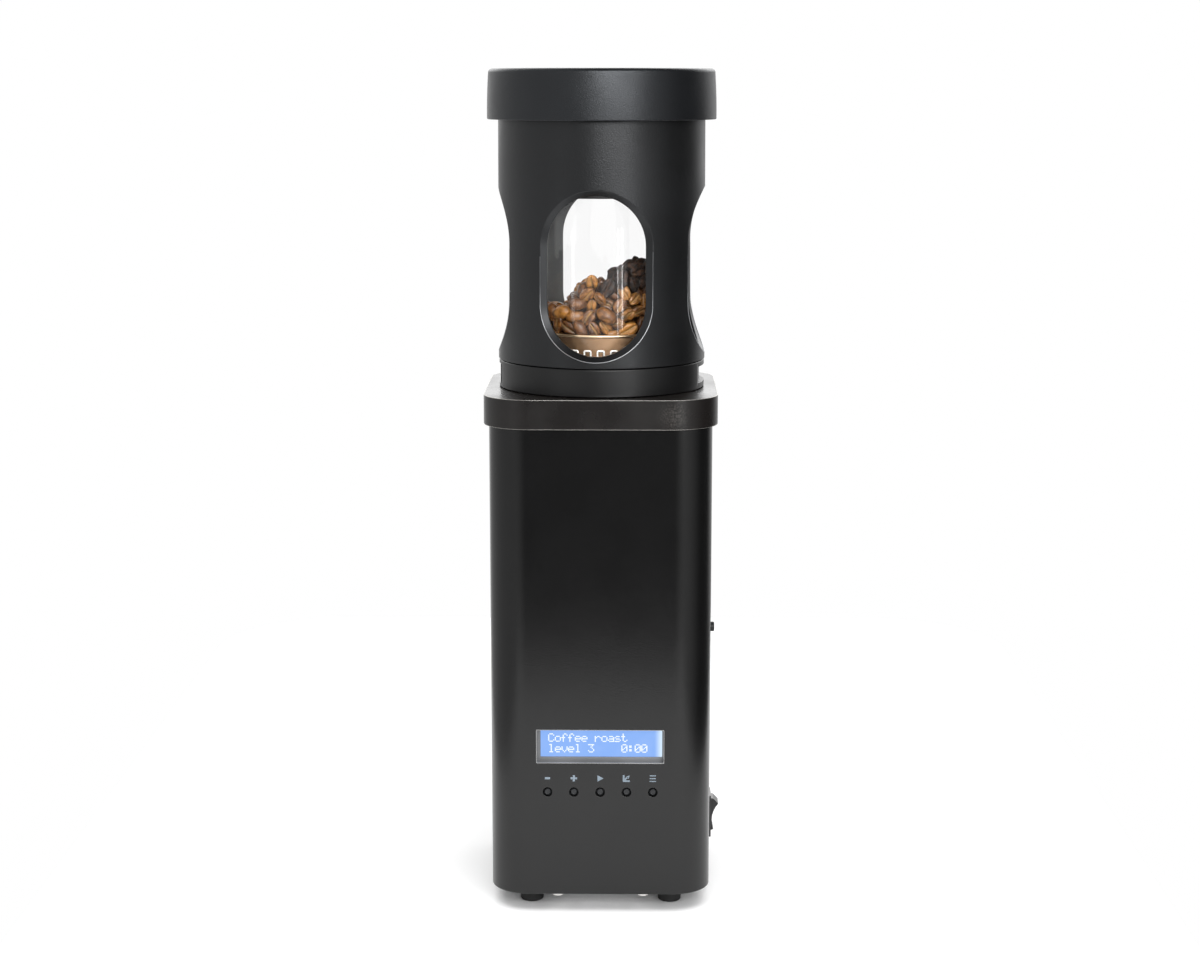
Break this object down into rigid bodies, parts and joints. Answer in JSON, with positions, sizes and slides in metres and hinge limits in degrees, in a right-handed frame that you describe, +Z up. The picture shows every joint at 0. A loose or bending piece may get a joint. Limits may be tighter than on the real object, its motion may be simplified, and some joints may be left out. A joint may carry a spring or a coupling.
{
  "type": "home coffee bean roaster",
  "caption": "Countertop hot air coffee roaster: square housing with display and keys, glass roasting tube with beans in a windowed chaff sleeve, lift-off lid.",
  "frame": {"origin": "on the surface the feet stand on, under the centre of the housing", "axes": "+Z up, -Y the front with the display and keys, +X the side with the rocker switch"},
  "size_m": [0.1271, 0.1236, 0.4475],
  "materials": {
    "housing_shell": "satin black powder coat",
    "top_cap": "fine textured warm black",
    "base_plate": "satin black",
    "foot_rubber": "matt black",
    "base_screw_steel": "bright zinc",
    "side_screw_steel": "blackened",
    "panel_carrier": "moulded black",
    "lcd_bezel": "grey metal frame",
    "lcd_panel": "lit light blue display",
    "control_board": "green solder mask",
    "switch_frame": "black",
    "mains_inlet": "black",
    "power_board": "green solder mask",
    "blower_stand": "bright zinc",
    "blower_motor": "bright zinc",
    "blower_housing": "black",
    "heater_tube": "plain steel",
    "heater_former": "tan insulating card",
    "heater_coil": "drawn wire",
    "temperature_probe": "plain steel",
    "thermal_cutout": "copper tone",
    "seat_ring": "plain steel",
    "button_grey": "grey",
    "switch_rocker": "black",
    "blower_wheel": "black",
    "motor_shaft": "ground",
    "collar_ring": "satin black",
    "roast_basket": "drawn and polished at the edges",
    "distributor_plate": "plain steel",
    "glass_tube": "clear",
    "lower_glass_seal": "red silicone",
    "coffee_beans": "roasted brown, dull sheen",
    "chaff_sleeve": "satin black",
    "chimney_ring": "black",
    "upper_glass_seal": "red silicone",
    "chaff_screen": "perforated sheet",
    "lid_shell": "matt black"
  },
  "bodies": {
    "base": {"housing_shell": "housing_shell", "top_cap": "top_cap", "base_plate": "base_plate", "foot_front_left": "foot_rubber", "foot_front_right": "foot_rubber", "foot_rear_left": "foot_rubber", "foot_rear_right": "foot_rubber", "base_screw_1": "base_screw_steel", "base_screw_2": "base_screw_steel", "base_screw_3": "base_screw_steel", "base_screw_4": "base_screw_steel", "side_screw_front": "side_screw_steel", "side_screw_rear": "side_screw_steel", "panel_carrier": "panel_carrier", "lcd_bezel": "lcd_bezel", "lcd_panel": "lcd_panel", "control_board": "control_board", "switch_frame": "switch_frame", "mains_inlet": "mains_inlet", "power_board": "power_board", "blower_stand": "blower_stand", "blower_motor": "blower_motor", "blower_housing": "blower_housing", "heater_tube": "heater_tube", "heater_former": "heater_former", "heater_coil": "heater_coil", "temperature_probe": "temperature_probe", "thermal_cutout": "thermal_cutout", "seat_ring": "seat_ring"},
    "minus_key": {"button_minus": "button_grey"},
    "plus_key": {"button_plus": "button_grey"},
    "start_key": {"button_start": "button_grey"},
    "profile_key": {"button_profile": "button_grey"},
    "menu_key": {"button_menu": "button_grey"},
    "rocker": {"switch_rocker": "switch_rocker"},
    "fan": {"blower_wheel": "blower_wheel", "motor_shaft": "motor_shaft"},
    "chamber": {"collar_ring": "collar_ring", "roast_basket": "roast_basket", "distributor_plate": "distributor_plate", "glass_tube": "glass_tube", "lower_glass_seal": "lower_glass_seal", "coffee_beans": "coffee_beans"},
    "collector": {"chaff_sleeve": "chaff_sleeve", "chimney_ring": "chimney_ring", "upper_glass_seal": "upper_glass_seal", "chaff_screen": "chaff_screen"},
    "lid": {"lid_shell": "lid_shell"}
  },
  "joints": [
    {"name": "chamber_lift", "type": "slide", "parent": "base", "child": "chamber", "axis": [0, 0, 1], "range_m": [0, 0.03]},
    {"name": "sleeve_lift", "type": "slide", "parent": "chamber", "child": "collector", "axis": [0, 0, 1], "range_m": [0, 0.11]},
    {"name": "lid_lift", "type": "slide", "parent": "collector", "child": "lid", "axis": [0, 0, 1], "range_m": [0, 0.04]},
    {"name": "fan_spin", "type": "hinge", "parent": "base", "child": "fan", "pos_m": [0, 0, 0.107], "axis": [0, 0, 1], "continuous": true},
    {"name": "switch_rock", "type": "hinge", "parent": "base", "child": "rocker", "pos_m": [0.05854, 0, 0.0371], "axis": [0, 1, 0], "range_deg": [-20.6, 0]},
    {"name": "minus_press", "type": "slide", "parent": "base", "child": "minus_key", "axis": [0, 1, 0], "range_m": [0, 0.001], "stiffness_N_per_m": 300},
    {"name": "plus_press", "type": "slide", "parent": "base", "child": "plus_key", "axis": [0, 1, 0], "range_m": [0, 0.001], "stiffness_N_per_m": 300},
    {"name": "start_press", "type": "slide", "parent": "base", "child": "start_key", "axis": [0, 1, 0], "range_m": [0, 0.001], "stiffness_N_per_m": 300},
    {"name": "profile_press", "type": "slide", "parent": "base", "child": "profile_key", "axis": [0, 1, 0], "range_m": [0, 0.001], "stiffness_N_per_m": 300},
    {"name": "menu_press", "type": "slide", "parent": "base", "child": "menu_key", "axis": [0, 1, 0], "range_m": [0, 0.001], "stiffness_N_per_m": 300}
  ]
}
